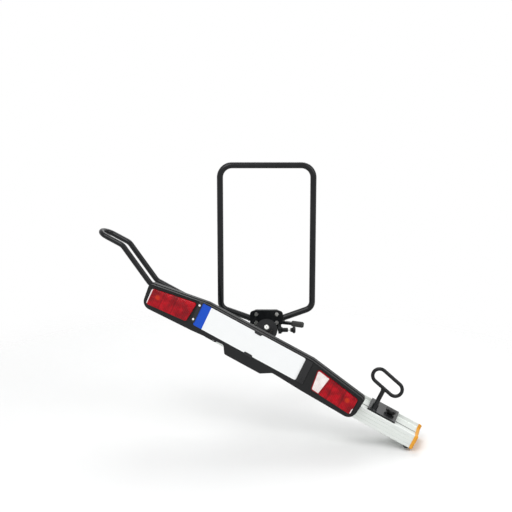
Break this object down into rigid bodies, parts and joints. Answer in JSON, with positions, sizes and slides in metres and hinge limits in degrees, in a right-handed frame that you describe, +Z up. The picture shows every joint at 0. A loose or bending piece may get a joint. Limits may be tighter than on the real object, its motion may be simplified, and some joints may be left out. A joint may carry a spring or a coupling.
{
  "type": "hitch motorcycle carrier",
  "caption": "Tow-ball motorcycle carrier: tilting alloy wheel rail on an inclined pivot, tall hoop mast, sliding wheel holders and a light board with a blank number plate",
  "frame": {"origin": "Centre of the tow ball, in the coupler's socket", "axes": "+X to the right seen from behind the vehicle, +Y forward to the vehicle, +Z up; the rest pose is the loading pose with the rail tilted right end down"},
  "size_m": [1.4632, 0.5356, 1.2099],
  "materials": {
    "cast_black": "satin black powder coat on castings",
    "gloss_black": "gloss black powder coat on steel",
    "zinc": "bright zinc plate",
    "alloy": "drawn natural anodised aluminium",
    "shell_black": "satin moulded plastic",
    "clip_black": "satin moulded plastic",
    "knob_black": "satin moulded plastic",
    "lens_red": "ribbed clear red acrylic",
    "lens_clear": "ribbed clear acrylic",
    "lamp_white": "white moulded plastic",
    "bulb": "clear bulb glass",
    "plate_white": "reflective white sheet, blank",
    "plate_blue": "reflective blue sheet, blank",
    "cap_orange": "satin orange moulding",
    "rubber": "black rubber",
    "bronze": "sintered bronze"
  },
  "bodies": {
    "base": {"coupler_housing": "cast_black", "lever_pin": "zinc", "pivot_head": "cast_black", "coupler_bolts": "zinc", "mast_hoop": "gloss_black", "mast_flange": "gloss_black", "mast_bolts": "zinc", "pivot_shaft": "zinc", "shaft_washer": "gloss_black", "shaft_nut": "gloss_black", "lock_sleeve": "gloss_black", "lock_spring": "zinc"},
    "jaw": {"clamp_jaw": "zinc"},
    "lever": {"coupler_lever": "gloss_black", "lever_grip": "rubber", "lever_lock": "zinc"},
    "plunger": {"lock_pin": "zinc", "lock_knob": "knob_black"},
    "rail": {"swing_bracket": "gloss_black", "pivot_bushes": "bronze", "saddle_bolts": "zinc", "saddle_nuts": "zinc", "rail": "alloy", "rail_cap_left": "cap_orange", "rail_cap_right": "cap_orange", "rail_feet": "rubber", "board_brackets": "gloss_black", "bracket_bolts": "zinc", "bracket_nuts": "zinc", "board_shell": "shell_black", "left_lens": "lens_red", "right_lens": "lens_red", "reverse_lens": "lens_clear", "left_lamp_base": "lamp_white", "right_lamp_base": "lamp_white", "lamp_bulbs": "bulb", "lamp_grommets": "rubber", "number_plate": "plate_white", "plate_band": "plate_blue", "plate_clip_left": "clip_black", "clip_rivets": "lamp_white", "plate_tabs": "clip_black"},
    "plate_clip": {"plate_clip_right": "clip_black"},
    "front_holder": {"front_hoop": "gloss_black", "front_foot": "gloss_black", "front_clamp_bolt": "zinc"},
    "front_knob": {"front_knob": "knob_black"},
    "rear_holder": {"rear_hoop": "gloss_black", "rear_foot": "gloss_black", "rear_clamp_bolt": "zinc"},
    "rear_knob": {"rear_knob": "knob_black"}
  },
  "joints": [
    {"name": "tilt", "type": "hinge", "parent": "base", "child": "rail", "pos_m": [0, -0.13, 0], "axis": [0, -0.866, 0.5], "range_deg": [0, 29]},
    {"name": "lever_open", "type": "hinge", "parent": "base", "child": "lever", "pos_m": [0.05775, 0, 0.006], "axis": [0, -1, 0], "range_deg": [0, 95]},
    {"name": "jaw_release", "type": "slide", "parent": "base", "child": "jaw", "axis": [1, 0, 0], "range_m": [0, 0.005]},
    {"name": "plunger_drop", "type": "slide", "parent": "base", "child": "plunger", "axis": [-1, 0, 0], "range_m": [0, 0.01]},
    {"name": "front_slide", "type": "slide", "parent": "rail", "child": "front_holder", "axis": [0.8746, -0.2424, -0.4199], "range_m": [0, 0.15]},
    {"name": "front_knob_turn", "type": "hinge", "parent": "front_holder", "child": "front_knob", "pos_m": [-0.41349, -0.10993, 0.15122], "axis": [0.4199, -0.0543, 0.906], "range_deg": [0, 720]},
    {"name": "rear_slide", "type": "slide", "parent": "rail", "child": "rear_holder", "axis": [0.8746, -0.2424, -0.4199], "range_m": [-0.1, 0.08]},
    {"name": "rear_knob_turn", "type": "hinge", "parent": "rear_holder", "child": "rear_knob", "pos_m": [0.54334, -0.37512, -0.30811], "axis": [0.4199, -0.0543, 0.906], "range_deg": [0, 720]},
    {"name": "plate_clip_slide", "type": "slide", "parent": "rail", "child": "plate_clip", "axis": [0.8746, -0.2424, -0.4199], "range_m": [0, 0.02]}
  ],
  "couplings": [
    {"joint": "jaw_release", "follows": "lever_open", "m_per_rad": 0.0030153}
  ]
}
